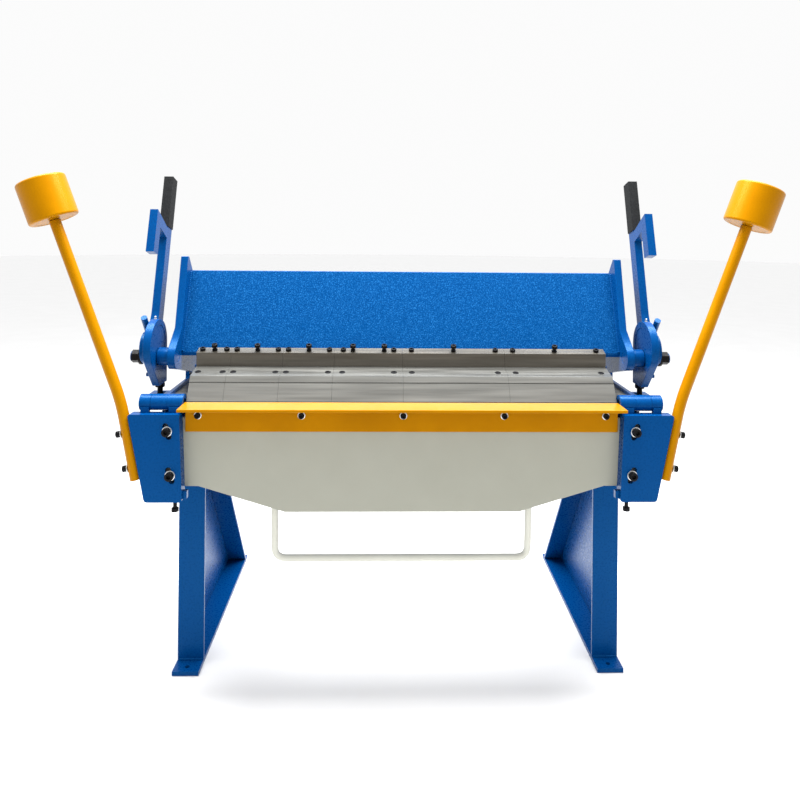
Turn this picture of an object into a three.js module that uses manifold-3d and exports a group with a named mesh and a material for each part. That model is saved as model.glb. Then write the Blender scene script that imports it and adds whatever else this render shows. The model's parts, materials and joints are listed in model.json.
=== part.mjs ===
// A 1220 mm box-and-pan sheet metal brake on two legs.
//
// Frame: millimetres, +X to the operator's right, +Y to the back, +Z up. All sub-parts are drawn
// about the fold line (the axis that the folding apron turns about), and one group at the end
// stands the machine on the floor with its origin at the bottom centre of its box.

import * as THREE from 'three';
import { mergeVertices } from 'three/addons/utils/BufferGeometryUtils.js';
import Module from 'manifold-3d';

const wasm = await Module();
wasm.setup();

// ---------- driving dimensions ----------

const FOLD_HEIGHT = 861;
const GAP = 0.3;
const ROUND = 32;
const ARC_STEPS = 9;
const WIDE_ARC_STEPS = 30;

// fingers, from the left, as sold: 4, 6, 6, 8, 12 and 12 inches
const INCH = 25.4;
const FINGER_WIDTHS = [4, 6, 6, 8, 12, 12].map((inches) => inches * INCH);
const FINGER_SPAN = FINGER_WIDTHS.reduce((sum, width) => sum + width, 0);
const FINGER_GAP = 0.5;
const NOSE_SETBACK = 3.5;

// bed and legs
const SIDE_OUT = 685;
const SIDE_THICK = 12;
const SIDE_TOP = 9;
const BED_HALF = SIDE_OUT - SIDE_THICK - GAP;
const BED_TOP = -1;
const TABLE_THICK = 21;
const TABLE_DEPTH = 298;
const BED_BEAM = { front: 8, back: 160, top: -22.4, bottom: -200, wall: 12 };
const LEG_WIDTH = 80;
const LEG_FRONT = 200;
const LEG_PLATE = 10;
const FOOT = { front: 142, back: 876, thick: 13, hole: 7, holeInset: 24 };
const FOOT_TOP = -FOLD_HEIGHT + FOOT.thick;
const BRACE_SLOPE = 0.762;
const BRACE_TOP = { y: 287, z: -110 };

// hinge on the fold line
const HINGE = { radius: 22.5, pin: 11, inner: 613, middle: 655.5, outer: 701.5, end: 733 };

// folding apron
const APRON = { thick: 10, top: -8.3, shoulder: -232, bottom: -305, half: 605, wing: 690 };
const APRON_BREAK = 570;
const APRON_LOW = 329;
const WING_TOP = -40;
const ANGLE = { flange: 70, leg: 78, thick: 8, half: 612.5, legHalf: 606 };
const END_BOX = { front: -43, back: -10.3, top: -24, bottom: -265, wall: 9, round: 9 };
const END_BOX_X = { topIn: 615, topOut: 757, bottomIn: 606, bottomOut: 709 };
const SLOTS = [{ x: 648, z: -70 }, { x: 639, z: -191 }];
const SLOT = { half: 8, reach: 15, lean: 0.33 };

// counterweights and their rods
const ROD_RADIUS = 15;
const ROD_Y = -27;
const ROD_BOTTOM = { x: 737, z: -207 };
const ROD_BEND = { x: 779, z: 8 };
const WEIGHT = { radius: 66, length: 120, x: 985, z: 562, edge: 9 };

// lifting handle under the apron
const HANDLE = { radius: 10, half: 361, top: -235, bottom: -450, y: 10.4, back: 26, bend: 34 };

// clamping beam
const BEAM = { half: 660.7, flangeLow: 105, flangeTop: 115, flangeBack: 300 };
const BEAM_PLATE = { lowY: 133.6, lowZ: 115.3, topY: 226, topZ: 354, thick: 10.8 };
const BACK_PLATE = { lowY: 282, lowZ: 115.3, topY: 240.5, topZ: 340, thick: 10 };
const END_PLATE = { inner: 661, outer: 683, nose: 37.5, tipY: 192, tipZ: 399 };
const SEAT = { half: 618, front: 118.3, back: 190, low: 54.3, step: 79.8, stepY: 133.5 };
const BLOCK = { front: 104, back: 133.2, low: 80.1, frontTop: 119.6, backTop: 129.2 };

// rear pivot of the clamping beam
const PIVOT = { y: 330, z: 42, pin: 12, arm: 30, ear: 28 };
const EAR = { inner: SIDE_OUT + GAP, outer: SIDE_OUT + GAP + 12, front: 300, back: 345, low: -60, neck: -10 };

// eccentric clamp at each end
const SHAFT = { y: 98, z: 109.5, radius: 15, inner: 661.5, outer: 796 };
const THROW = 33;
const CAM = { y: SHAFT.y, z: SHAFT.z + THROW, radius: 57.6 };
const LINK = { inner: 717, outer: 739, round: 76, frontY: 107, backY: 174, low: 20 };
const STUD = { x: 728, y: 145, radius: 8, low: -54, nut: 14, nutHigh: 11 };
const ANCHOR = { inner: SIDE_OUT + GAP, outer: 760, front: 103, back: 187, low: -26, top: -12 };
const LEVER = { inner: 739.3, outer: 763.3, depth: 42, hub: 47, hubY: 110, hubZ: 133 };
const LEVER_FRONT = { lowY: 162, lowZ: 213, topY: 285, topZ: 647 };
const NUT = { inner: 764, washer: 771, outer: 793, across: 33, washerRadius: 24 };
const GRIP = { wall: 2.2, length: 166, cap: 4 };

const RUNNING = 0.35;

// ---------- colours ----------

const finish = (color, roughness, metalness) =>
  new THREE.MeshStandardMaterial({ color, roughness, metalness });
const BLUE = finish(0x0a62b8, 0.4, 0.1);
const YELLOW = finish(0xf5b400, 0.35, 0.0);
const GREY = finish(0xb6b6aa, 0.45, 0.0);
const GROUND_STEEL = finish(0xa2a29a, 0.35, 0.9);
const DARK_STEEL = finish(0x1c1c1e, 0.5, 0.6);
const RUBBER = finish(0x2b2e30, 0.8, 0.0);

// ---------- shapes and solids ----------

// A closed solid from any three.js geometry.
function solid(geometry) {
  const bare = geometry.index ? geometry.toNonIndexed() : geometry.clone();
  bare.deleteAttribute('normal');
  bare.deleteAttribute('uv');
  const merged = mergeVertices(bare, 1e-4);
  return new wasm.Manifold(new wasm.Mesh({
    numProp: 3,
    vertProperties: new Float32Array(merged.attributes.position.array),
    triVerts: new Uint32Array(merged.index.array),
  }));
}

function geometryOf(manifold) {
  const mesh = manifold.getMesh();
  const geometry = new THREE.BufferGeometry();
  geometry.setAttribute('position', new THREE.BufferAttribute(new Float32Array(mesh.vertProperties), 3));
  geometry.setIndex(new THREE.BufferAttribute(new Uint32Array(mesh.triVerts), 1));
  return geometry;
}

function join(first, ...others) {
  return others.reduce((whole, piece) => whole.add(piece), first);
}

function cut(first, ...others) {
  return others.reduce((whole, piece) => whole.subtract(piece), first);
}

function outline(points) {
  return new THREE.Shape(points.map(([u, v]) => new THREE.Vector2(u, v)));
}

function extrude(shape, depth, curveSegments = ARC_STEPS) {
  return new THREE.ExtrudeGeometry(shape, { depth, bevelEnabled: false, curveSegments });
}

const axes = (u, v, w) => new THREE.Matrix4().makeBasis(
  new THREE.Vector3(...u), new THREE.Vector3(...v), new THREE.Vector3(...w));
const YZ_PLANE = axes([0, 1, 0], [0, 0, 1], [1, 0, 0]);
const XZ_PLANE = axes([1, 0, 0], [0, 0, 1], [0, -1, 0]);

// A plate whose outline is drawn in Y and Z, between two distances from the middle on one side.
function sidePlate(shape, side, inner, outer, curveSegments = WIDE_ARC_STEPS) {
  const geometry = extrude(shape, outer - inner, curveSegments).applyMatrix4(YZ_PLANE);
  geometry.translate(side > 0 ? inner : -outer, 0, 0);
  return solid(geometry);
}

// A bar whose section is drawn in Y and Z, from one X to another.
function bar(shape, left, right) {
  const geometry = extrude(shape, right - left).applyMatrix4(YZ_PLANE);
  geometry.translate(left, 0, 0);
  return solid(geometry);
}

// A plate whose outline is drawn in X and Z, from front to back.
function facePlate(shape, front, back) {
  const geometry = extrude(shape, back - front).applyMatrix4(XZ_PLANE);
  geometry.translate(0, back, 0);
  return solid(geometry);
}

function box(x0, x1, y0, y1, z0, z1) {
  const geometry = new THREE.BoxGeometry(Math.abs(x1 - x0), Math.abs(y1 - y0), Math.abs(z1 - z0));
  geometry.translate((x0 + x1) / 2, (y0 + y1) / 2, (z0 + z1) / 2);
  return solid(geometry);
}

// A round or, with few sides, hexagonal bar between two points.
function rod(from, to, radius, sides = ROUND) {
  const start = new THREE.Vector3(...from);
  const span = new THREE.Vector3(...to).sub(start);
  const geometry = new THREE.CylinderGeometry(radius, radius, span.length(), sides);
  const turn = new THREE.Quaternion().setFromUnitVectors(
    new THREE.Vector3(0, 1, 0), span.clone().normalize());
  geometry.applyQuaternion(turn);
  geometry.translate(...start.addScaledVector(span, 0.5));
  return solid(geometry);
}

// A round bar across the machine, given its distances from the middle on one side.
function crossRod(side, inner, outer, y, z, radius, sides = ROUND) {
  return rod([side * inner, y, z], [side * outer, y, z], radius, sides);
}

const machine = new THREE.Group();

function add(name, manifold, material) {
  const mesh = new THREE.Mesh(geometryOf(manifold), material);
  mesh.name = name;
  machine.add(mesh);
}

// ---------- legs and bed (fixed) ----------

const braceY = (z) => BRACE_TOP.y + (BRACE_TOP.z - z) * BRACE_SLOPE;

function legWeb(side) {
  const shoulder = -215;
  return sidePlate(outline([
    [30, SIDE_TOP],
    [30, -100],
    [LEG_FRONT + LEG_PLATE + GAP, shoulder],
    [LEG_FRONT + LEG_PLATE + GAP, FOOT_TOP + GAP],
    [braceY(FOOT_TOP), FOOT_TOP + GAP],
    [BRACE_TOP.y, BRACE_TOP.z],
    [EAR.back, -70],
    [EAR.back, SIDE_TOP],
  ]), side, SIDE_OUT - SIDE_THICK, SIDE_OUT);
}

function legFrontPlate(side) {
  const inner = SIDE_OUT - LEG_WIDTH;
  return box(side * inner, side * SIDE_OUT, LEG_FRONT, LEG_FRONT + LEG_PLATE, FOOT_TOP + GAP, -216);
}

function legRearBrace(side) {
  const thick = LEG_PLATE * 1.25;
  return sidePlate(outline([
    [BRACE_TOP.y, BRACE_TOP.z],
    [BRACE_TOP.y - thick, BRACE_TOP.z],
    [braceY(FOOT_TOP) - thick, FOOT_TOP + GAP],
    [braceY(FOOT_TOP), FOOT_TOP + GAP],
  ]), side, SIDE_OUT - LEG_WIDTH, SIDE_OUT - SIDE_THICK - GAP);
}

function footPlate(side) {
  const inner = SIDE_OUT - LEG_WIDTH;
  const middle = side * (inner + LEG_WIDTH / 2);
  const holes = [FOOT.front + FOOT.holeInset, FOOT.back - FOOT.holeInset / 2].map((y) =>
    rod([middle, y, -FOLD_HEIGHT - 1], [middle, y, FOOT_TOP + 1], FOOT.hole, 24));
  const plate = box(side * inner, side * SIDE_OUT, FOOT.front, FOOT.back, -FOLD_HEIGHT, FOOT_TOP);
  return cut(plate, ...holes);
}

function bedBeam() {
  const { front, back, top, bottom, wall } = BED_BEAM;
  return bar(outline([
    [front, top], [back, top], [back, top - wall], [front + wall, top - wall],
    [front + wall, bottom + wall], [back, bottom + wall], [back, bottom], [front, bottom],
  ]), -BED_HALF, BED_HALF);
}

// Table plate, with its front corners notched for the hinge knuckles.
function bedTable() {
  const low = BED_TOP - TABLE_THICK;
  const notch = (side) =>
    box(side * (HINGE.inner - 2), side * (BED_HALF + 1), 0, HINGE.radius + 4, low - 1, BED_TOP + 1);
  return cut(box(-BED_HALF, BED_HALF, 2, 2 + TABLE_DEPTH, low, BED_TOP), notch(-1), notch(1));
}

// The bed's knuckle between the apron's two, with a tab back to the side plate.
function bedKnuckle(side) {
  const inner = HINGE.middle + GAP;
  const outer = HINGE.outer;
  const knuckle = crossRod(side, inner, outer, 0, 0, HINGE.radius);
  const tab = box(side * (SIDE_OUT - SIDE_THICK), side * (outer - 3), 12, 30 - GAP, -18, 6);
  return cut(join(knuckle, tab), crossRod(side, inner - 1, outer + 1, 0, 0, HINGE.pin + GAP, 24));
}

function hingePin(side) {
  return crossRod(side, HINGE.inner + 2, HINGE.end - 2, 0, 0, HINGE.pin, 24);
}

// Slotted bracket on the side plate, which the clamp's stud passes through.
function linkAnchor(side) {
  const { inner, outer, front, back, low, top } = ANCHOR;
  const plate = box(side * inner, side * outer, front, back, low, top);
  const rib = (y) => box(side * inner, side * (inner + 20), y, y + 8, low - 26, low + 1);
  const half = STUD.radius + 1;
  const slot = box(side * (STUD.x - half), side * (STUD.x + half), front + 12, back - 12, low - 1, top + 1);
  return cut(join(plate, rib(front), rib(back - 8)), slot);
}

function pivotEar(side) {
  const shape = new THREE.Shape();
  shape.moveTo(EAR.front, EAR.low);
  shape.lineTo(EAR.back, EAR.low);
  shape.lineTo(EAR.back, EAR.neck);
  shape.lineTo(PIVOT.y + PIVOT.ear, PIVOT.z);
  shape.absarc(PIVOT.y, PIVOT.z, PIVOT.ear, 0, Math.PI, false);
  shape.lineTo(EAR.front, EAR.neck);
  shape.closePath();
  const ear = sidePlate(shape, side, EAR.inner, EAR.outer);
  const bore = crossRod(side, EAR.inner - 1, EAR.outer + 1, PIVOT.y, PIVOT.z, PIVOT.pin + RUNNING, 24);
  return cut(ear, bore);
}

function pivotPin(side) {
  const { y, z, pin } = PIVOT;
  const head = crossRod(side, EAR.outer + GAP, EAR.outer + 8, y, z, pin + 7, 6);
  return join(crossRod(side, END_PLATE.inner - 5, EAR.outer + 4, y, z, pin, 24), head);
}

// ---------- folding apron ----------

function apronPlate() {
  const { half, wing, top, shoulder, bottom, thick } = APRON;
  const right = [
    [APRON_LOW, bottom], [APRON_BREAK, shoulder], [wing, shoulder], [wing, WING_TOP],
    [half, WING_TOP], [half, top],
  ];
  const left = right.map(([x, z]) => [-x, z]).reverse();
  return facePlate(outline([...right, ...left]), -thick, 0);
}

// Angle whose top flange lies over the apron plate and ends at the fold line.
function foldingAngle() {
  const back = -APRON.thick - GAP;
  const { flange, leg, thick, half, legHalf } = ANGLE;
  const top = box(-half, half, back - flange, -GAP, -thick, 0);
  const upright = box(-legHalf, legHalf, back - thick, back, -leg, -thick / 2);
  return join(top, upright);
}

// Rounded trapezium of the apron's end box, drawn in X and Z and inset on every side.
function endBoxOutline(side, inset, round) {
  const { topIn, topOut, bottomIn, bottomOut } = END_BOX_X;
  const top = END_BOX.top - inset;
  const bottom = END_BOX.bottom + inset;
  const corners = [
    [topIn + inset, top], [topOut - inset, top], [bottomOut - inset, bottom], [bottomIn + inset, bottom],
  ].map(([x, z]) => new THREE.Vector2(side * x, z));
  const shape = new THREE.Shape();
  corners.forEach((corner, index) => {
    const before = corners[(index + 3) % 4].clone().sub(corner).setLength(round).add(corner);
    const after = corners[(index + 1) % 4].clone().sub(corner).setLength(round).add(corner);
    if (index === 0) {
      shape.moveTo(before.x, before.y);
    } else {
      shape.lineTo(before.x, before.y);
    }
    shape.quadraticCurveTo(corner.x, corner.y, after.x, after.y);
  });
  shape.closePath();
  return shape;
}

function slotCutter(side, { x, z }) {
  const from = [side * (x + SLOT.reach * SLOT.lean), z + SLOT.reach];
  const to = [side * (x - SLOT.reach * SLOT.lean), z - SLOT.reach];
  const along = new THREE.Vector2(to[0] - from[0], to[1] - from[1]).setLength(SLOT.half);
  const across = [-along.y, along.x];
  const sides = outline([
    [from[0] + across[0], from[1] + across[1]], [from[0] - across[0], from[1] - across[1]],
    [to[0] - across[0], to[1] - across[1]], [to[0] + across[0], to[1] + across[1]],
  ]);
  const front = END_BOX.front - 1;
  const back = END_BOX.front + END_BOX.wall + 1;
  const end = ([u, v]) => rod([u, front, v], [u, back, v], SLOT.half, 24);
  return join(facePlate(sides, front, back), end(from), end(to));
}

// Hollow end box of the apron with its two hinge knuckles.
function apronEnd(side) {
  const { front, back, wall, round } = END_BOX;
  const shell = facePlate(endBoxOutline(side, 0, round), front, back);
  const hollow = facePlate(endBoxOutline(side, wall, round / 2), front + wall, back + 1);
  const knuckles = [[HINGE.inner, HINGE.middle], [HINGE.outer + GAP, HINGE.end]].map(([inner, outer]) => {
    const tabInner = Math.max(inner + 3, END_BOX_X.topIn + 2);
    const tab = box(side * tabInner, side * (outer - 6), front + 18, back, END_BOX.top - 6, -8);
    return join(crossRod(side, inner, outer, 0, 0, HINGE.radius), tab);
  });
  const bore = crossRod(side, HINGE.inner - 1, HINGE.end + 1, 0, 0, HINGE.pin + GAP, 24);
  const slots = SLOTS.map((slot) => slotCutter(side, slot));
  return cut(join(cut(shell, hollow), ...knuckles), bore, ...slots);
}

const rodLean = new THREE.Vector2(WEIGHT.x - ROD_BEND.x, WEIGHT.z - ROD_BEND.z).normalize();

function counterweightRod(side) {
  const inWeight = WEIGHT.length / 2 + GAP;
  const top = [WEIGHT.x - rodLean.x * inWeight, WEIGHT.z - rodLean.y * inWeight];
  const low = new THREE.Vector2(ROD_BOTTOM.x - ROD_BEND.x, ROD_BOTTOM.z - ROD_BEND.z).setLength(45);
  const high = rodLean.clone().multiplyScalar(45);
  const point = (x, z) => new THREE.Vector3(side * x, ROD_Y, z);
  const path = new THREE.CurvePath();
  const bendStart = point(ROD_BEND.x + low.x, ROD_BEND.z + low.y);
  const bendEnd = point(ROD_BEND.x + high.x, ROD_BEND.z + high.y);
  path.add(new THREE.LineCurve3(point(ROD_BOTTOM.x, ROD_BOTTOM.z), bendStart));
  path.add(new THREE.QuadraticBezierCurve3(bendStart, point(ROD_BEND.x, ROD_BEND.z), bendEnd));
  path.add(new THREE.LineCurve3(bendEnd, point(...top)));
  return sweep(path, ROD_RADIUS, 30, 14);
}

// A round bar along a path, with its ends square to the path.
function sweep(path, radius, steps, sides) {
  const section = new THREE.Shape();
  section.absarc(0, 0, radius, 0, Math.PI * 2, false);
  return solid(new THREE.ExtrudeGeometry(section, {
    steps, extrudePath: path, bevelEnabled: false, curveSegments: sides / 2,
  }));
}

function counterweight(side) {
  const { radius, length, edge } = WEIGHT;
  const half = length / 2;
  const profile = [
    [0, -half], [radius - edge, -half], [radius - edge * 0.3, -half + edge * 0.3],
    [radius, -half + edge], [radius, half - edge], [radius - edge * 0.3, half - edge * 0.3],
    [radius - edge, half], [0, half],
  ].map(([r, h]) => new THREE.Vector2(r, h));
  const geometry = new THREE.LatheGeometry(profile, ROUND);
  geometry.rotateX(Math.PI / 2);
  geometry.rotateY(side * Math.atan2(rodLean.x, rodLean.y));
  geometry.translate(side * WEIGHT.x, ROD_Y, WEIGHT.z);
  return solid(geometry);
}

function liftHandle() {
  const { radius, half, top, bottom, y, back, bend } = HANDLE;
  const drop = (z) => y + (back - y) * (z - top) / (bottom - top);
  const point = (x, z) => new THREE.Vector3(x, drop(z), z);
  const path = new THREE.CurvePath();
  path.add(new THREE.LineCurve3(point(-half, top), point(-half, bottom + bend)));
  path.add(new THREE.QuadraticBezierCurve3(
    point(-half, bottom + bend), point(-half, bottom), point(bend - half, bottom)));
  path.add(new THREE.LineCurve3(point(bend - half, bottom), point(half - bend, bottom)));
  path.add(new THREE.QuadraticBezierCurve3(
    point(half - bend, bottom), point(half, bottom), point(half, bottom + bend)));
  path.add(new THREE.LineCurve3(point(half, bottom + bend), point(half, top)));
  return sweep(path, radius, 60, 12);
}

// Screw below the end box that sets the hinge's height, with a socket head at its lower end.
function adjustingScrew(side) {
  const x = side * 629;
  const y = -26;
  const shank = rod([x, y, END_BOX.bottom - 22], [x, y, END_BOX.bottom - GAP], 5.5, 16);
  return join(shank, rod([x, y, END_BOX.bottom - 30], [x, y, END_BOX.bottom - 20], 10, 16));
}

// ---------- clamping beam ----------

function slantedPlate({ lowY, lowZ, topY, topZ, thick }) {
  return bar(outline([
    [lowY, lowZ], [lowY + thick, lowZ], [topY + thick, topZ], [topY, topZ],
  ]), -BEAM.half, BEAM.half);
}

// Seat bar that the fingers hang on, welded under the beam's flange.
function beamSeat() {
  const { half, front, back, low, step, stepY } = SEAT;
  const { flangeLow, flangeTop, flangeBack } = BEAM;
  const seat = bar(outline([
    [front, low], [back, low], [back, flangeLow + 2], [stepY, flangeLow + 2], [stepY, step], [front, step],
  ]), -half, half);
  return join(seat, box(-BEAM.half, BEAM.half, stepY, flangeBack, flangeLow, flangeTop));
}

// End plate with the nose that carries the shaft, and the arm back to the rear pivot.
function beamEndPlate(side) {
  const { inner, outer, nose, tipY, tipZ } = END_PLATE;
  const armStart = Math.PI / 4;
  const shape = new THREE.Shape();
  shape.moveTo(SHAFT.y, SHAFT.z - nose);
  shape.absarc(SHAFT.y, SHAFT.z, nose, -Math.PI / 2, -1.3 * Math.PI, true);
  shape.lineTo(135, 188);
  shape.lineTo(tipY, tipZ);
  shape.lineTo(tipY + 12, tipZ);
  shape.lineTo(244, BEAM_PLATE.topZ);
  shape.absarc(PIVOT.y, PIVOT.z, PIVOT.arm, armStart, -Math.PI / 2, true);
  shape.closePath();
  const plate = sidePlate(shape, side, inner, outer);
  const boss = crossRod(side, outer - 1, LINK.inner - 2 * GAP, SHAFT.y, SHAFT.z, 26);
  const shaftBore = crossRod(side, inner - 1, LINK.inner, SHAFT.y, SHAFT.z, SHAFT.radius + RUNNING, 32);
  const pinBore = crossRod(side, inner - 1, outer + 1, PIVOT.y, PIVOT.z, PIVOT.pin + RUNNING, 24);
  return cut(join(plate, boss), shaftBore, pinBore);
}

const FINGER_OUTLINE = outline([
  [NOSE_SETBACK, 1], [NOSE_SETBACK + 1.2, 3], [40, 65], [BLOCK.front, 79.5],
  [118, 79.5], [118, 54], [165, 54], [165, 14], [70, 6],
]);
const BLOCK_OUTLINE = outline([
  [BLOCK.front, BLOCK.low], [BLOCK.back, BLOCK.low],
  [BLOCK.back, BLOCK.backTop], [BLOCK.front, BLOCK.frontTop],
]);

// ---------- eccentric clamps ----------

// Shaft through the beam's nose, with the eccentric disc that turns in the link's eye.
function eccentricShaft(side) {
  const shaft = crossRod(side, SHAFT.inner, SHAFT.outer, SHAFT.y, SHAFT.z, SHAFT.radius, 32);
  return join(shaft, crossRod(side, LINK.inner + 1, LINK.outer, CAM.y, CAM.z, CAM.radius, 48));
}

function clampLink(side) {
  const { inner, outer, round, frontY, backY, low } = LINK;
  const reach = Math.hypot(frontY - CAM.y, low - CAM.z);
  const touch = Math.atan2(low - CAM.z, frontY - CAM.y) - Math.acos(round / reach);
  const shape = new THREE.Shape();
  shape.moveTo(frontY, low);
  shape.lineTo(backY, low);
  shape.absarc(CAM.y, CAM.z, round, 0, touch + 2 * Math.PI, false);
  shape.closePath();
  const plate = sidePlate(shape, side, inner, outer);
  const stopPin = crossRod(side, outer - 2, outer + 12, 92, 57, 6, 16);
  const eye = crossRod(side, inner - 1, outer + 1, CAM.y, CAM.z, CAM.radius + RUNNING, 48);
  return cut(join(plate, stopPin), eye);
}

// Threaded stud under the link, with a lock nut above and the end nuts below the bracket.
function clampStud(side) {
  const x = side * STUD.x;
  const { y, radius, low, nut, nutHigh } = STUD;
  const top = LINK.low - GAP;
  const piece = (from, to, r, sides) => rod([x, y, from], [x, y, to], r, sides);
  return join(piece(low, top, radius, 16), piece(top - nutHigh, top, nut, 6), piece(low, low + 10, nut, 6));
}

const leverLean = new THREE.Vector2(
  LEVER_FRONT.topY - LEVER_FRONT.lowY, LEVER_FRONT.topZ - LEVER_FRONT.lowZ).normalize();
const leverBack = new THREE.Vector2(leverLean.y, -leverLean.x);
const leverFrontY = (z) => LEVER_FRONT.lowY + (z - LEVER_FRONT.lowZ) * leverLean.x / leverLean.y;

// Clamp lever: hub, leaning bar and the downward hook near its top.
function clampLever(side) {
  const { inner, outer, depth, hub, hubY, hubZ } = LEVER;
  const { lowY, lowZ, topY, topZ } = LEVER_FRONT;
  const hookTop = [147, 543];
  const hookLow = [110, 417];
  const hookDepth = 38;
  const shape = new THREE.Shape();
  shape.moveTo(hubY + hub * Math.cos(1.19), hubZ + hub * Math.sin(1.19));
  shape.quadraticCurveTo(156, 200, leverFrontY(234), 234);
  shape.lineTo(leverFrontY(455), 455);
  shape.lineTo(170, 488);
  shape.lineTo(hookLow[0] + hookDepth * leverLean.y, hookLow[1] - hookDepth * leverLean.x);
  shape.lineTo(...hookLow);
  shape.lineTo(...hookTop);
  shape.lineTo(leverFrontY(486), 486);
  shape.lineTo(topY, topZ);
  shape.lineTo(topY + depth * leverBack.x, topZ + depth * leverBack.y);
  shape.lineTo(lowY + depth * leverBack.x, lowZ + depth * leverBack.y);
  shape.quadraticCurveTo(186, 148, hubY + hub * Math.cos(-0.61), hubZ + hub * Math.sin(-0.61));
  shape.absarc(hubY, hubZ, hub, -0.61, 1.19 - 2 * Math.PI, true);
  const plate = sidePlate(shape, side, inner, outer);
  const middle = side * (inner + outer) / 2;
  const stub = rod([middle, 112, 172], [middle, 67, 227], 9, 20);
  const bore = crossRod(side, inner - 1, outer + 1, SHAFT.y, SHAFT.z, SHAFT.radius + GAP, 32);
  return cut(join(plate, stub), bore);
}

// Point beside the lever's bar: distance down from its top end and back from its front face.
function besideBar(down, back) {
  return [
    LEVER_FRONT.topY - leverLean.x * down + leverBack.x * back,
    LEVER_FRONT.topZ - leverLean.y * down + leverBack.y * back,
  ];
}

function leverGrip(side) {
  const { wall, length, cap } = GRIP;
  const sleeve = (start, end, grow) => outline([
    besideBar(end, -grow), besideBar(end, LEVER.depth + grow),
    besideBar(start, LEVER.depth + grow), besideBar(start, -grow),
  ]);
  const outside = sidePlate(sleeve(-cap, length - cap, wall + GAP), side,
    LEVER.inner - wall - GAP, LEVER.outer + wall + GAP);
  const inside = sidePlate(sleeve(-GAP, length, GAP), side, LEVER.inner - GAP, LEVER.outer + GAP);
  return cut(outside, inside);
}

function shaftNut(side) {
  const { inner, washer, outer, across, washerRadius } = NUT;
  const hex = crossRod(side, washer - 1, outer, SHAFT.y, SHAFT.z, across / Math.sqrt(3), 6);
  const disc = crossRod(side, inner, washer, SHAFT.y, SHAFT.z, washerRadius, 32);
  const bore = crossRod(side, inner - 1, outer + 1, SHAFT.y, SHAFT.z, SHAFT.radius + GAP, 32);
  return cut(join(hex, disc), bore);
}

// ---------- assembly ----------

add('bed_beam', bedBeam(), BLUE);
add('bed_table', bedTable(), GROUND_STEEL);
add('apron_plate', apronPlate(), GREY);
add('folding_angle', foldingAngle(), YELLOW);
add('lift_handle', liftHandle(), GREY);
add('beam_front_plate', slantedPlate(BEAM_PLATE), BLUE);
add('beam_back_plate', slantedPlate(BACK_PLATE), BLUE);
add('beam_seat', beamSeat(), BLUE);

const PAIRS = [
  ['leg_web', legWeb, BLUE],
  ['leg_front_plate', legFrontPlate, BLUE],
  ['leg_rear_brace', legRearBrace, BLUE],
  ['foot_plate', footPlate, BLUE],
  ['bed_knuckle', bedKnuckle, BLUE],
  ['hinge_pin', hingePin, DARK_STEEL],
  ['link_anchor', linkAnchor, BLUE],
  ['pivot_ear', pivotEar, BLUE],
  ['pivot_pin', pivotPin, DARK_STEEL],
  ['apron_end', apronEnd, BLUE],
  ['counterweight_rod', counterweightRod, YELLOW],
  ['counterweight', counterweight, YELLOW],
  ['adjusting_screw', adjustingScrew, DARK_STEEL],
  ['beam_end_plate', beamEndPlate, BLUE],
  ['eccentric_shaft', eccentricShaft, BLUE],
  ['clamp_link', clampLink, BLUE],
  ['clamp_stud', clampStud, DARK_STEEL],
  ['clamp_lever', clampLever, BLUE],
  ['lever_grip', leverGrip, RUBBER],
  ['shaft_nut', shaftNut, DARK_STEEL],
];
for (const [name, build, material] of PAIRS) {
  add(`${name}_left`, build(-1), material);
  add(`${name}_right`, build(1), material);
}

let left = -FINGER_SPAN / 2;
FINGER_WIDTHS.forEach((width, index) => {
  const from = left + FINGER_GAP / 2;
  const to = left + width - FINGER_GAP / 2;
  add(`finger_${index + 1}`, bar(FINGER_OUTLINE, from, to), GROUND_STEEL);
  add(`finger_clamp_${index + 1}`, bar(BLOCK_OUTLINE, from, to), GROUND_STEEL);
  left += width;
});

// the counterweights reach furthest forward and the feet furthest back
const originBack = (ROD_Y - WEIGHT.radius + FOOT.back) / 2;
machine.position.set(0, -originBack, FOLD_HEIGHT);

const brake = new THREE.Group();
brake.add(machine);
export default brake;
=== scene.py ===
"""Looks of a 1220 mm box-and-pan sheet metal brake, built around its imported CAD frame."""

import json
import math

import bmesh
import bpy
from mathutils import Matrix, Vector


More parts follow.
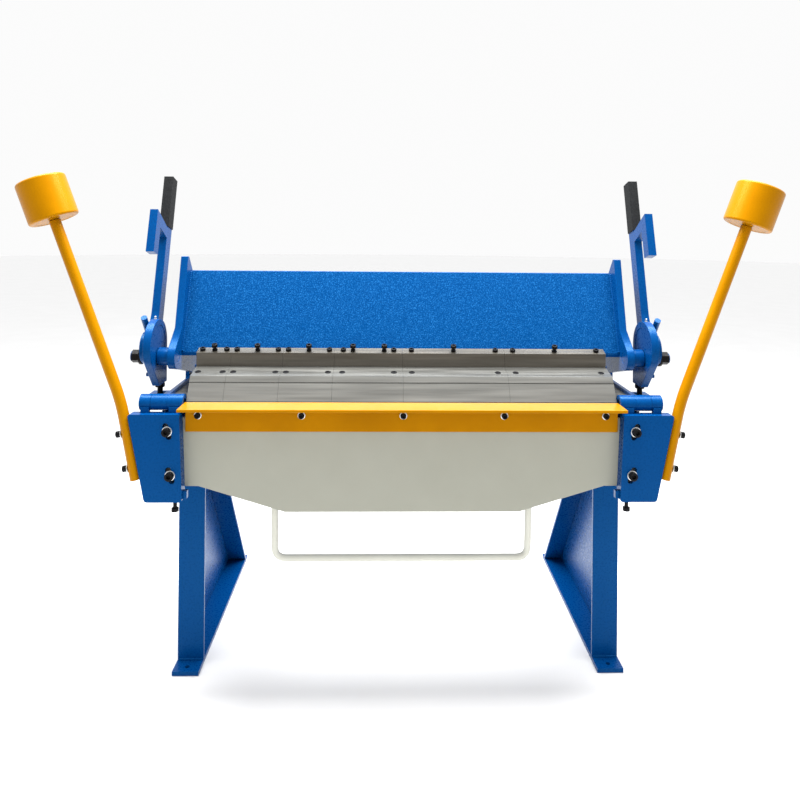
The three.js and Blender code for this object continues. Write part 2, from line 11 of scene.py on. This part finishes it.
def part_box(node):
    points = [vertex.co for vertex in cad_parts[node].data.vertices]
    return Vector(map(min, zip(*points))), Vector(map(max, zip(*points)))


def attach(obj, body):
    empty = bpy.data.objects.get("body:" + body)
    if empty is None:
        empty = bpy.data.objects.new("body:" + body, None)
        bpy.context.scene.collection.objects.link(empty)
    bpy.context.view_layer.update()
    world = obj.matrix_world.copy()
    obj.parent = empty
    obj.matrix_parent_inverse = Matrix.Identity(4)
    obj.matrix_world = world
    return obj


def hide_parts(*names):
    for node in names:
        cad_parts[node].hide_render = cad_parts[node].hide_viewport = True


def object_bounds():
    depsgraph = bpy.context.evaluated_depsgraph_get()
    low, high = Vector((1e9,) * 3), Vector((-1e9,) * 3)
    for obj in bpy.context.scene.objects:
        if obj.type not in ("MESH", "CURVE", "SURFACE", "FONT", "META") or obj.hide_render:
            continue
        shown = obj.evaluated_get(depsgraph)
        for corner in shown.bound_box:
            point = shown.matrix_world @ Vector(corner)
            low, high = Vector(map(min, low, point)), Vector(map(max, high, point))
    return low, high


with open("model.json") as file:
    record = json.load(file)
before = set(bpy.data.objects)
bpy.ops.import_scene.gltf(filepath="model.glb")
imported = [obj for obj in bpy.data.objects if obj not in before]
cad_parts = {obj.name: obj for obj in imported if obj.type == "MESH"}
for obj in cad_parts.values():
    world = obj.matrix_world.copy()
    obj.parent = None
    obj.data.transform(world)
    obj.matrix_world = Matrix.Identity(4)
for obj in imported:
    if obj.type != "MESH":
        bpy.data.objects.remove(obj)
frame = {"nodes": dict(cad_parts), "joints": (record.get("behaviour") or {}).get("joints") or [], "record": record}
cad_low, cad_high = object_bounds()

MM = 0.001
SIDES = {"left": -1, "right": 1}
BODY_OF = {
    node: body for body, nodes in frame["record"]["behaviour"]["bodies"].items() for node in nodes
}
SLOT_OF = {part["node"]: part["material_slot"] for part in frame["record"]["subparts"]}
JOINTS = {joint["name"]: joint for joint in frame["joints"]}
FOLD = Vector(JOINTS["apron_fold"]["pos_m"])


def at(x, y, z):
    """A point given in millimetres from the middle of the fold line."""
    return FOLD + Vector((x, y, z)) * MM


# ---------- materials ----------


class Nodes:
    """A material's node tree, with short ways to add and link nodes."""

    def __init__(self, name, roughness, metallic=0.0, specular=0.5, tint=(1, 1, 1)):
        self.material = bpy.data.materials.new(name)
        self.material.use_nodes = True
        self.tree = self.material.node_tree
        self.shader = self.tree.nodes["Principled BSDF"]
        self.shader.inputs["Roughness"].default_value = roughness
        self.shader.inputs["Metallic"].default_value = metallic
        self.shader.inputs["Specular IOR Level"].default_value = specular
        self.shader.inputs["Specular Tint"].default_value = (*tint, 1)
        self.place = self.tree.nodes.new("ShaderNodeTexCoord").outputs["Object"]

    def link(self, output, node, socket):
        self.tree.links.new(output, node.inputs[socket])

    def noise(self, scale, detail=3.0, stretch=(1, 1, 1)):
        mapping = self.tree.nodes.new("ShaderNodeMapping")
        mapping.inputs["Scale"].default_value = stretch
        self.link(self.place, mapping, "Vector")
        texture = self.tree.nodes.new("ShaderNodeTexNoise")
        texture.inputs["Scale"].default_value = scale
        texture.inputs["Detail"].default_value = detail
        self.link(mapping.outputs["Vector"], texture, "Vector")
        return texture.outputs["Fac"]

    def dimples(self, scale):
        texture = self.tree.nodes.new("ShaderNodeTexVoronoi")
        texture.feature = "SMOOTH_F1"
        texture.inputs["Scale"].default_value = scale
        self.link(self.place, texture, "Vector")
        return texture.outputs["Distance"]

    def ramp(self, fac, *stops):
        ramp = self.tree.nodes.new("ShaderNodeValToRGB")
        while len(ramp.color_ramp.elements) < len(stops):
            ramp.color_ramp.elements.new(0.5)
        for element, (position, colour) in zip(ramp.color_ramp.elements, stops):
            element.position = position
            element.color = (*colour, 1)
        self.link(fac, ramp, "Fac")
        return ramp.outputs["Color"]

    def colour(self, fac, *stops):
        self.link(self.ramp(fac, *stops), self.shader, "Base Color")

    def roughness(self, fac, low, high):
        levels = self.ramp(fac, (0.3, (low,) * 3), (0.7, (high,) * 3))
        self.link(levels, self.shader, "Roughness")

    def bump(self, fac, height_mm, strength=1.0):
        bump = self.tree.nodes.new("ShaderNodeBump")
        bump.inputs["Strength"].default_value = strength
        bump.inputs["Distance"].default_value = height_mm * MM
        self.link(fac, bump, "Height")
        self.link(bump.outputs["Normal"], self.shader, "Normal")


# Highlight tints, set so that the paints keep their colour under the bright sky.
# They are not physical: the highlights of real paint are white.
BLUE_GLOSS = (0.1, 0.5, 1.0)
YELLOW_GLOSS = (1.0, 0.62, 0.08)
GREY_GLOSS = (0.8, 0.8, 0.75)


def hammertone(name, deep, mid, light, cell, height_mm):
    paint = Nodes(name, roughness=0.3, specular=0.3, tint=BLUE_GLOSS)
    spots = paint.noise(scale=cell, detail=2.0)
    paint.colour(spots, (0.34, deep), (0.52, mid), (0.7, light))
    paint.roughness(paint.noise(scale=cell * 0.7), 0.22, 0.38)
    paint.bump(paint.dimples(cell * 0.8), height_mm, 0.55)
    return paint.material


def enamel(name, dark, light, roughness, gloss, height_mm):
    paint = Nodes(name, roughness=roughness, specular=0.3, tint=gloss)
    paint.colour(paint.noise(scale=9, detail=4.0), (0.3, dark), (0.7, light))
    paint.bump(paint.noise(scale=170, detail=2.0), height_mm, 0.4)
    return paint.material


def ground_steel(name, dark, light, stretch):
    steel = Nodes(name, roughness=0.38, metallic=0.85)
    grain = steel.noise(scale=60, detail=6.0, stretch=stretch)
    steel.colour(grain, (0.25, dark), (0.75, light))
    steel.roughness(steel.noise(scale=90, detail=5.0, stretch=stretch), 0.3, 0.5)
    steel.bump(grain, 0.05, 0.35)
    return steel.material


def dark_metal(name, dark, light, roughness, metallic):
    metal = Nodes(name, roughness=roughness, metallic=metallic, specular=0.12)
    metal.colour(metal.noise(scale=220, detail=4.0), (0.3, dark), (0.7, light))
    metal.roughness(metal.noise(scale=140), roughness - 0.08, roughness + 0.1)
    metal.bump(metal.noise(scale=600, detail=2.0), 0.04, 0.3)
    return metal.material


BLUE = hammertone("blue_paint", (0.0, 0.036, 0.152), (0.0, 0.041, 0.168), (0.0, 0.047, 0.185), 230, 0.16)
BEAM_BLUE = hammertone(
    "blue_paint_coarse", (0.0, 0.03, 0.125), (0.0, 0.042, 0.165), (0.012, 0.11, 0.31), 330, 0.5)
YELLOW = enamel("yellow_paint", (0.33, 0.13, 0.0), (0.38, 0.155, 0.0), 0.3, YELLOW_GLOSS, 0.12)
GREY = enamel("grey_paint", (0.295, 0.297, 0.25), (0.31, 0.312, 0.265), 0.45, GREY_GLOSS, 0.1)
PALE = enamel("handle_paint", (0.5, 0.5, 0.44), (0.56, 0.56, 0.5), 0.38, GREY_GLOSS, 0.08)
STEEL = ground_steel("ground_steel", (0.12, 0.12, 0.112), (0.21, 0.21, 0.195), (0.04, 1, 1))
BLOCK_STEEL = ground_steel("block_steel", (0.06, 0.054, 0.044), (0.12, 0.11, 0.092), (0.06, 1, 1))
BLACK = dark_metal("black_oxide", (0.002, 0.002, 0.0025), (0.007, 0.007, 0.008), 0.42, 0.2)
ZINC = dark_metal("zinc_plate", (0.5, 0.5, 0.5), (0.72, 0.72, 0.7), 0.28, 0.95)
RUBBER = dark_metal("grip_rubber", (0.004, 0.0045, 0.005), (0.012, 0.013, 0.014), 0.62, 0.0)

SLOT_FINISH = {
    "blue_paint": BLUE, "yellow_paint": YELLOW, "grey_paint": GREY,
    "ground_steel": STEEL, "black_oxide": BLACK, "grip_rubber": RUBBER,
}


# ---------- pieces ----------

SHARP = math.radians(40)


def shade(bm):
    """Smooth faces, with the edges that are meant to be sharp left sharp."""
    bmesh.ops.recalc_face_normals(bm, faces=bm.faces)
    for face in bm.faces:
        face.smooth = True
    for edge in bm.edges:
        edge.smooth = edge.is_manifold and edge.calc_face_angle() < SHARP


def soften(bm, width, segments=3):
    """Rounds every edge sharper than the shading limit by a width in millimetres."""
    edges = [edge for edge in bm.edges if edge.is_manifold and edge.calc_face_angle() > SHARP]
    bmesh.ops.bevel(
        bm, geom=edges, offset=width * MM, offset_type="OFFSET", segments=segments,
        profile=0.5, affect="EDGES", clamp_overlap=True,
    )


def add_piece(name, bm, material, body, replaces=()):
    shade(bm)
    mesh = bpy.data.meshes.new(name)
    bm.to_mesh(mesh)
    bm.free()
    mesh.materials.append(material)
    piece = bpy.data.objects.new(name, mesh)
    bpy.context.scene.collection.objects.link(piece)
    normals = piece.modifiers.new("face_weighted", "WEIGHTED_NORMAL")
    normals.keep_sharp = True
    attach(piece, body)
    if replaces:
        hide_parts(*replaces)
    return piece


def node_mesh(node):
    """The CAD node's surface as a new bmesh, with each flat face in one piece."""
    bm = bmesh.new()
    bm.from_mesh(frame["nodes"][node].data)
    bmesh.ops.remove_doubles(bm, verts=bm.verts, dist=1e-5)
    bmesh.ops.dissolve_limit(bm, angle_limit=math.radians(0.6), verts=bm.verts, edges=bm.edges)
    return bm


def refine(node, edge_mm, material=None):
    bm = node_mesh(node)
    soften(bm, edge_mm)
    finish = material or SLOT_FINISH[SLOT_OF[node]]
    return add_piece(f"{node}_body", bm, finish, BODY_OF[node], [node])


def turned(bm, rings, place, sides=32):
    """Adds a turned shape: rings of (radius, height, hexagonal) in mm, about the Z axis of place."""
    loops = []
    for radius, height, hexagonal in rings:
        loop = []
        for step in range(sides):
            angle = 2 * math.pi * step / sides
            sector = (angle + math.pi / 6) % (math.pi / 3) - math.pi / 6
            reach = radius / math.cos(sector) if hexagonal else radius
            point = Vector((reach * math.cos(angle), reach * math.sin(angle), height)) * MM
            loop.append(bm.verts.new(place @ point))
        loops.append(loop)
    for lower, upper in zip(loops, loops[1:]):
        for step in range(sides):
            after = (step + 1) % sides
            bm.faces.new((lower[step], lower[after], upper[after], upper[step]))
    bm.faces.new(loops[0][::-1])
    bm.faces.new(loops[-1])


def facing(point, axis):
    """A place at point with its Z along axis."""
    turn = Vector(axis).to_track_quat("Z", "Y").to_matrix().to_4x4()
    return Matrix.Translation(point) @ turn


def washer(name, point, axis, body, radius, hole):
    bm = bmesh.new()
    rings = [(radius, 0, 0), (radius, 1.7, 0), (radius - 0.6, 2.2, 0), (hole, 2.2, 0)]
    turned(bm, rings, facing(point, axis), 40)
    add_piece(name, bm, ZINC, body)


def cap_screw(name, point, axis, body, radius=8, height=9, washer_radius=0, neck=0):
    """A socket cap screw on a surface, on a zinc washer or with a length of neck where it is given."""
    base = 0
    if washer_radius:
        base = 2
        washer(f"{name}_washer", point, axis, body, washer_radius, radius * 0.7)
    shank = radius * 0.5
    low = base + neck
    top = low + height
    socket = radius * 0.45
    rings = [(shank, base - 1, 0), (shank, low, 0)] if neck else [(shank, low - 1, 0)]
    rings += [
        (radius - 0.5, low - 0.3, 0), (radius, low + 0.4, 0),
        (radius, top - 1.2, 0), (radius - 0.5, top - 0.4, 0), (radius - 1.3, top, 0),
        (socket + 0.4, top, 1), (socket, top - 0.5, 1), (socket, top - height * 0.55, 1),
    ]
    bm = bmesh.new()
    turned(bm, rings, facing(point, axis), 36)
    add_piece(name, bm, BLACK, body)


def lock_nut(name, point, axis, body, radius, height):
    bm = bmesh.new()
    rings = [(radius - 1, 0, 1), (radius, 0.6, 1), (radius, height - 0.6, 1), (radius - 1, height, 1)]
    turned(bm, rings, facing(point, axis), 36)
    add_piece(name, bm, BLACK, body)


def tube(bm, points, radius_mm, sides=24, ripple=0.0, ripple_steps=6):
    """Adds a round bar along points, with chamfered rims and, for a weld bead, a rippled surface."""
    loops = []
    count = len(points)
    up = None
    for index, point in enumerate(points):
        before = points[max(index - 1, 0)]
        after = points[min(index + 1, count - 1)]
        along = (after - before).normalized()
        if up is None:
            up = along.orthogonal().normalized()
        up = (up - along * up.dot(along)).normalized()
        side = along.cross(up)
        swell = 1 + ripple * math.sin(2 * math.pi * index / ripple_steps)
        taper = 0.82 if index in (0, count - 1) else 1.0
        reach = radius_mm * MM * swell * taper
        loops.append([
            bm.verts.new(point + (up * math.cos(turn) + side * math.sin(turn)) * reach)
            for turn in (2 * math.pi * step / sides for step in range(sides))
        ])
    for lower, upper in zip(loops, loops[1:]):
        for step in range(sides):
            after = (step + 1) % sides
            bm.faces.new((lower[step], lower[after], upper[after], upper[step]))
    bm.faces.new(loops[0][::-1])
    bm.faces.new(loops[-1])


def rounded_path(corners, bend_mm, steps=14):
    """Points along straight runs, with each inner corner rounded, and short ends for the rims."""
    path = [corners[0], corners[0].lerp(corners[1], 0.004)]
    for before, corner, after in zip(corners, corners[1:], corners[2:]):
        enter = corner + (before - corner).normalized() * bend_mm * MM
        leave = corner + (after - corner).normalized() * bend_mm * MM
        for step in range(steps + 1):
            part = step / steps
            path.append(enter.lerp(corner, part).lerp(corner.lerp(leave, part), part))
    path += [corners[-1].lerp(corners[-2], 0.004), corners[-1]]
    return path


def section_bar(outline, left, right):
    """A bmesh bar with its section in Y and Z, in mm from the fold line, from one X to another."""
    bm = bmesh.new()
    ends = [[bm.verts.new(at(x, y, z)) for y, z in outline] for x in (left, right)]
    count = len(outline)
    for index in range(count):
        after = (index + 1) % count
        bm.faces.new((ends[0][index], ends[0][after], ends[1][after], ends[1][index]))
    bm.faces.new(ends[0][::-1])
    bm.faces.new(ends[1])
    return bm


def weld(name, start, end, radius_mm, body):
    """A rippled weld bead between two points."""
    span = (end - start).length / MM
    steps = max(12, int(span / 1.6))
    bm = bmesh.new()
    tube(bm, [start.lerp(end, step / steps) for step in range(steps + 1)], radius_mm, 12, 0.14, 4)
    add_piece(name, bm, BLUE, body)


# ---------- fixed frame, apron, beam and levers, from the CAD ----------

EDGES = {
    "bed_beam": 3, "bed_table": 0.8, "apron_plate": 1.2, "folding_angle": 1.5,
    "beam_front_plate": 1.5, "beam_back_plate": 1.5, "beam_seat": 1.0,
}
PAIR_EDGES = {
    "leg_web": 1.2, "leg_front_plate": 1.5, "leg_rear_brace": 1.5, "foot_plate": 1.5, "bed_knuckle": 1.2,
    "hinge_pin": 0.8, "link_anchor": 1.0, "pivot_ear": 1.2, "pivot_pin": 0.8, "apron_end": 1.6,
    "adjusting_screw": 0.8, "beam_end_plate": 1.4, "eccentric_shaft": 0.8, "clamp_link": 1.5,
    "clamp_stud": 0.8, "clamp_lever": 1.8, "lever_grip": 1.8, "shaft_nut": 0.9,
}
FINISHES = {"beam_front_plate": BEAM_BLUE, "beam_back_plate": BEAM_BLUE}
for node, edge in EDGES.items():
    refine(node, edge, FINISHES.get(node))
for node, edge in PAIR_EDGES.items():
    for side in SIDES:
        refine(f"{node}_{side}", edge)


# ---------- counterweights, rods and lifting handle ----------

WEIGHT = {"radius": 65.0, "length": 118.6, "x": 985, "y": -27, "z": 562}
ROD = {"radius": 15, "bottom": (737, -207), "bend": (779, 8), "curve": 45}
HANDLE = {"radius": 10, "half": 361, "top": -235, "bottom": -450, "y": 10.4, "back": 26, "bend": 34}


def rod_lean():
    return Vector((WEIGHT["x"] - ROD["bend"][0], WEIGHT["z"] - ROD["bend"][1])).normalized()


def counterweight(side, sign):
    radius = WEIGHT["radius"]
    half = WEIGHT["length"] / 2
    round_ = 7
    rim = [(radius - round_ * (1 - math.cos(a)), half - round_ * (1 - math.sin(a)), 0)
           for a in (math.pi / 2 * step / 6 for step in range(7))]
    # a shallow turned recess in each end face
    face = [(radius - 14, half, 0), (radius - 15.5, half - 1.2, 0), (radius - 40, half - 1.2, 0)]
    upper = rim + face
    lower = [(r, -h, flat) for r, h, flat in reversed(upper)]
    lean = rod_lean()
    place = facing(at(sign * WEIGHT["x"], WEIGHT["y"], WEIGHT["z"]), (sign * lean.x, 0, lean.y))
    bm = bmesh.new()
    turned(bm, lower + upper, place, 96)
    add_piece(f"counterweight_{side}_body", bm, YELLOW, "apron", [f"counterweight_{side}"])


def counterweight_rod(side, sign):
    lean = rod_lean()
    inside = WEIGHT["length"] / 2 - 1
    corners = [
        at(sign * ROD["bottom"][0], WEIGHT["y"], ROD["bottom"][1]),
        at(sign * ROD["bend"][0], WEIGHT["y"], ROD["bend"][1]),
        at(sign * (WEIGHT["x"] - lean.x * inside), WEIGHT["y"], WEIGHT["z"] - lean.y * inside),
    ]
    bm = bmesh.new()
    tube(bm, rounded_path(corners, ROD["curve"]), ROD["radius"], 40)
    add_piece(f"counterweight_rod_{side}_body", bm, YELLOW, "apron", [f"counterweight_rod_{side}"])


def lift_handle():
    half, top, bottom = HANDLE["half"], HANDLE["top"], HANDLE["bottom"]
    corners = [
        at(-half, HANDLE["y"], top), at(-half, HANDLE["back"], bottom),
        at(half, HANDLE["back"], bottom), at(half, HANDLE["y"], top),
    ]
    bm = bmesh.new()
    tube(bm, rounded_path(corners, HANDLE["bend"]), HANDLE["radius"], 32)
    add_piece("lift_handle_body", bm, PALE, "apron", ["lift_handle"])


for side, sign in SIDES.items():
    counterweight(side, sign)
    counterweight_rod(side, sign)
lift_handle()


# ---------- fingers and their clamping blocks ----------

NOSE_SETBACK = 3.5
NOSE_LOW = (NOSE_SETBACK + 1.2, 3)
NOSE_TOP = (40, 65)
SLOPE_TOP = (104, 79.5)
GROOVE = {"low": 46.4, "high": 49.4, "depth": 2.4}


def nose_groove():
    """Corners of the narrow groove across the nose slope, in Y and Z."""
    rise = Vector((NOSE_TOP[0] - NOSE_LOW[0], NOSE_TOP[1] - NOSE_LOW[1]))
    inward = Vector((rise.y, -rise.x)).normalized() * GROOVE["depth"]
    lips = [
        Vector(NOSE_LOW) + rise * (height - NOSE_LOW[1]) / rise.y
        for height in (GROOVE["low"], GROOVE["high"])
    ]
    return [tuple(p) for p in (lips[0], lips[0] + inward, lips[1] + inward, lips[1])]


FINGER_OUTLINE = [
    (NOSE_SETBACK, 1), NOSE_LOW, *nose_groove(), NOSE_TOP, SLOPE_TOP,
    (118, 79.5), (118, 54), (165, 54), (165, 14), (70, 6),
]
HOLE_Y = 66
HOLE_RADIUS = 9
SCREW_SINK = 0.2
SHORT_FINGER = 160
SHORT_INSET, LONG_INSET = 15, 26
SLOPE_RUN = SLOPE_TOP[0] - NOSE_TOP[0]
SLOPE_RISE = SLOPE_TOP[1] - NOSE_TOP[1]
FINGER_SLOPE = Vector((0, SLOPE_RUN, SLOPE_RISE)).normalized()
FINGER_UP = Vector((0, -FINGER_SLOPE.z, FINGER_SLOPE.y))
FINGERS = sorted(node for node in frame["nodes"] if node.startswith("finger_") and "clamp" not in node)


def finger_limits(node):
    """Left and right ends of a finger or clamping block, in mm."""
    low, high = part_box(node)
    return low.x / MM, high.x / MM


def inset_of(node):
    """The long fingers carry their screws further in from the ends."""
    left, right = finger_limits(node)
    return SHORT_INSET if right - left < SHORT_FINGER else LONG_INSET


def finger(node):
    left, right = finger_limits(node)
    bm = section_bar(FINGER_OUTLINE, left, right)
    soften(bm, 0.35, 2)
    add_piece(f"{node}_body", bm, STEEL, "clamping_beam", [node])
    height = NOSE_TOP[1] + (HOLE_Y - NOSE_TOP[0]) * SLOPE_RISE / SLOPE_RUN
    for end, x in (("a", left + inset_of(node)), ("b", right - inset_of(node))):
        cap_screw(
            f"{node}_screw_{end}", at(x, HOLE_Y, height) - FINGER_UP * SCREW_SINK * MM, FINGER_UP,
            "clamping_beam", radius=HOLE_RADIUS, height=1.4)


BLOCK_FRONT, BLOCK_BACK = 104, 133.2
BLOCK_LOW, BLOCK_FRONT_TOP, BLOCK_BACK_TOP = 80.1, 119.6, 129.2


def clamp_block(node, small_bolts, tall_bolts):
    left, right = finger_limits(node)
    bm = section_bar([
        (BLOCK_FRONT, BLOCK_LOW), (BLOCK_BACK, BLOCK_LOW),
        (BLOCK_BACK, BLOCK_BACK_TOP), (BLOCK_FRONT, BLOCK_FRONT_TOP),
    ], left, right)
    soften(bm, 0.7, 2)
    add_piece(f"{node}_body", bm, BLOCK_STEEL, "clamping_beam", [node])
    slope = Vector((0, BLOCK_BACK - BLOCK_FRONT, BLOCK_BACK_TOP - BLOCK_FRONT_TOP)).normalized()
    up = Vector((0, -slope.z, slope.y))
    middle_y = (BLOCK_FRONT + BLOCK_BACK) / 2
    middle_z = (BLOCK_FRONT_TOP + BLOCK_BACK_TOP) / 2
    for index, x in enumerate(small_bolts):
        cap_screw(f"{node}_bolt_{index + 1}", at(x, middle_y, middle_z), up, "clamping_beam", 8, 8)
    for index, x in enumerate(tall_bolts):
        point = at(x, middle_y, middle_z)
        lock_nut(f"{node}_tall_nut_{index + 1}", point, up, "clamping_beam", 7, 5)
        cap_screw(f"{node}_tall_bolt_{index + 1}", point, up, "clamping_beam", 8.5, 9, neck=11)


for number, node in enumerate(FINGERS, start=1):
    finger(node)
    left, right = finger_limits(node)
    inset = inset_of(node)
    width = right - left
    shares = (0.27, 0.73) if number == 4 else (0.5,)
    tall_bolts = [left + width * share for share in shares]
    clamp_block(f"finger_clamp_{number}", (left + inset, right - inset), tall_bolts)


# ---------- fasteners, nipples and welds ----------

FRONT = (0, -1, 0)
ANGLE_FACE = -18.3
ANGLE_BOLT_X = (-571, -284, 0, 284, 571)
ANGLE_BOLT_Z = -32
for index, x in enumerate(ANGLE_BOLT_X, start=1):
    point = at(x, ANGLE_FACE, ANGLE_BOLT_Z)
    cap_screw(f"angle_bolt_{index}", point, FRONT, "apron", 8.5, 7, washer_radius=10.5)

END_BOX_FACE = -43
SLOTS = [(648, -70), (639, -191)]
ROD_BOLT_SHARES = (0.60, 0.16)
ROD_BOLT_SINK = 1.5
LUG = {"size": (13, 16, 22), "x": 602, "y": -26, "z": -248}
NIPPLE = {"x": 728, "y": 98, "z": 218}
BEAM_WELD = {"x": 660.4, "low": (135, 119), "high": (224.5, 351), "radius": 3.2}
LEG_WELD = {"x": 672.6, "y": 211, "top": -220, "bottom": -842, "radius": 3}
FOOT_WELD = {"inner": 608, "outer": 682, "y": 199.5, "z": -846, "radius": 3.2}


def end_box_fasteners(side, sign):
    for index, (x, z) in enumerate(SLOTS, start=1):
        point = at(sign * x, END_BOX_FACE, z)
        cap_screw(f"slot_bolt_{side}_{index}", point, FRONT, "apron", 12, 12, washer_radius=14)
    bottom = Vector((sign * ROD["bottom"][0], ROD["bottom"][1]))
    bend = Vector((sign * ROD["bend"][0], ROD["bend"][1]))
    along = (bend - bottom).normalized()
    outward = Vector((sign * along.y, 0, -sign * along.x))
    for index, share in enumerate(ROD_BOLT_SHARES, start=1):
        centre = bottom.lerp(bend, share)
        point = at(centre.x, WEIGHT["y"], centre.y) + outward * (ROD["radius"] - ROD_BOLT_SINK) * MM
        cap_screw(f"rod_bolt_{side}_{index}", point, outward, "apron", 9, 14, washer_radius=12)


def end_box_lug(side, sign):
    """Stop lug on the inner wall of the end box, near its lower corner."""
    bm = bmesh.new()
    bmesh.ops.create_cube(bm, size=1)
    bmesh.ops.scale(bm, verts=bm.verts, vec=Vector(LUG["size"]) * MM)
    bmesh.ops.translate(bm, verts=bm.verts, vec=at(sign * LUG["x"], LUG["y"], LUG["z"]))
    soften(bm, 1.2)
    add_piece(f"end_box_lug_{side}", bm, BLUE, "apron")


def grease_nipple(side, sign):
    place = facing(at(sign * NIPPLE["x"], NIPPLE["y"], NIPPLE["z"]), (0, 0, 1))
    bm = bmesh.new()
    turned(bm, [
        (3.8, -2, 1), (3.8, 3, 1), (2.2, 3.6, 0), (2.2, 6, 0), (3.2, 7.2, 0), (3.2, 8.6, 0), (1.4, 10, 0),
    ], place, 24)
    add_piece(f"grease_nipple_{side}", bm, ZINC, f"link_{side}")


def side_welds(side, sign):
    low = at(sign * BEAM_WELD["x"], *BEAM_WELD["low"])
    high = at(sign * BEAM_WELD["x"], *BEAM_WELD["high"])
    weld(f"beam_weld_{side}", low, high, BEAM_WELD["radius"], "clamping_beam")
    top = at(sign * LEG_WELD["x"], LEG_WELD["y"], LEG_WELD["top"])
    bottom = at(sign * LEG_WELD["x"], LEG_WELD["y"], LEG_WELD["bottom"])
    weld(f"leg_weld_{side}", top, bottom, LEG_WELD["radius"], "frame")
    inner = at(sign * FOOT_WELD["inner"], FOOT_WELD["y"], FOOT_WELD["z"])
    outer = at(sign * FOOT_WELD["outer"], FOOT_WELD["y"], FOOT_WELD["z"])
    weld(f"foot_weld_{side}", inner, outer, FOOT_WELD["radius"], "frame")


for side, sign in SIDES.items():
    end_box_fasteners(side, sign)
    end_box_lug(side, sign)
    grease_nipple(side, sign)
    side_welds(side, sign)


# ---------- floor, light and camera ----------

CAMERA_PLACE = at(-56, -1934, 499)
CAMERA_YAW = math.radians(-1.47)
CAMERA_ROLL = math.radians(0.52)
CAMERA_LENS = 30.82
CAMERA_SENSOR = 36
CAMERA_SHIFT = (-0.00325, -0.2176)

FLOOR_RADIUS = 30
FLOOR_DROP = 0.0005

# strength of the sky at and below this height of the view direction, and straight up
HORIZON_HEIGHT = 0.35
HORIZON_LIGHT = 0.97
ZENITH_LIGHT = 1.5

OVERHEAD = {
    "place": (0, -0.15, 3.2), "target": (0, -0.15, 0.8), "width": 3.4, "height": 1.5, "power": 330,
}


def floor():
    bm = bmesh.new()
    bmesh.ops.create_circle(bm, cap_ends=True, segments=96, radius=FLOOR_RADIUS)
    mesh = bpy.data.meshes.new("floor")
    bm.to_mesh(mesh)
    bm.free()
    paint = Nodes("floor_paint", roughness=0.7)
    paint.colour(paint.noise(scale=3), (0.3, (0.72, 0.72, 0.72)), (0.7, (0.74, 0.74, 0.74)))
    mesh.materials.append(paint.material)
    plane = bpy.data.objects.new("floor", mesh)
    plane.location.z = cad_low.z - FLOOR_DROP
    bpy.context.scene.collection.objects.link(plane)


def soft_light(name, place, target, width, height, power):
    light = bpy.data.lights.new(name, "AREA")
    light.shape = "RECTANGLE"
    light.size = width
    light.size_y = height
    light.energy = power
    lamp = bpy.data.objects.new(name, light)
    lamp.matrix_world = facing(Vector(place), Vector(place) - Vector(target))
    bpy.context.scene.collection.objects.link(lamp)


def sky():
    world = bpy.data.worlds.new("studio")
    world.use_nodes = True
    background = world.node_tree.nodes["Background"]
    background.inputs["Color"].default_value = (1, 1, 1, 1)
    tree = world.node_tree
    direction = tree.nodes.new("ShaderNodeTexCoord").outputs["Generated"]
    split = tree.nodes.new("ShaderNodeSeparateXYZ")
    tree.links.new(direction, split.inputs["Vector"])
    height = tree.nodes.new("ShaderNodeMapRange")
    height.inputs["From Min"].default_value = HORIZON_HEIGHT
    height.inputs["From Max"].default_value = 1.0
    height.inputs["To Min"].default_value = HORIZON_LIGHT
    height.inputs["To Max"].default_value = ZENITH_LIGHT
    tree.links.new(split.outputs["Z"], height.inputs["Value"])
    tree.links.new(height.outputs["Result"], background.inputs["Strength"])
    bpy.context.scene.world = world


def camera():
    lens = bpy.data.cameras.new("camera")
    lens.lens = CAMERA_LENS
    lens.sensor_width = CAMERA_SENSOR
    lens.shift_x, lens.shift_y = CAMERA_SHIFT
    eye = bpy.data.objects.new("camera", lens)
    eye.matrix_world = (
        Matrix.Translation(CAMERA_PLACE) @ Matrix.Rotation(CAMERA_YAW, 4, "Z")
        @ Matrix.Rotation(math.radians(90), 4, "X") @ Matrix.Rotation(CAMERA_ROLL, 4, "Z"))
    bpy.context.scene.collection.objects.link(eye)
    bpy.context.scene.camera = eye


floor()
sky()
soft_light("overhead", **OVERHEAD)
bpy.context.scene.view_settings.view_transform = "Standard"
camera()
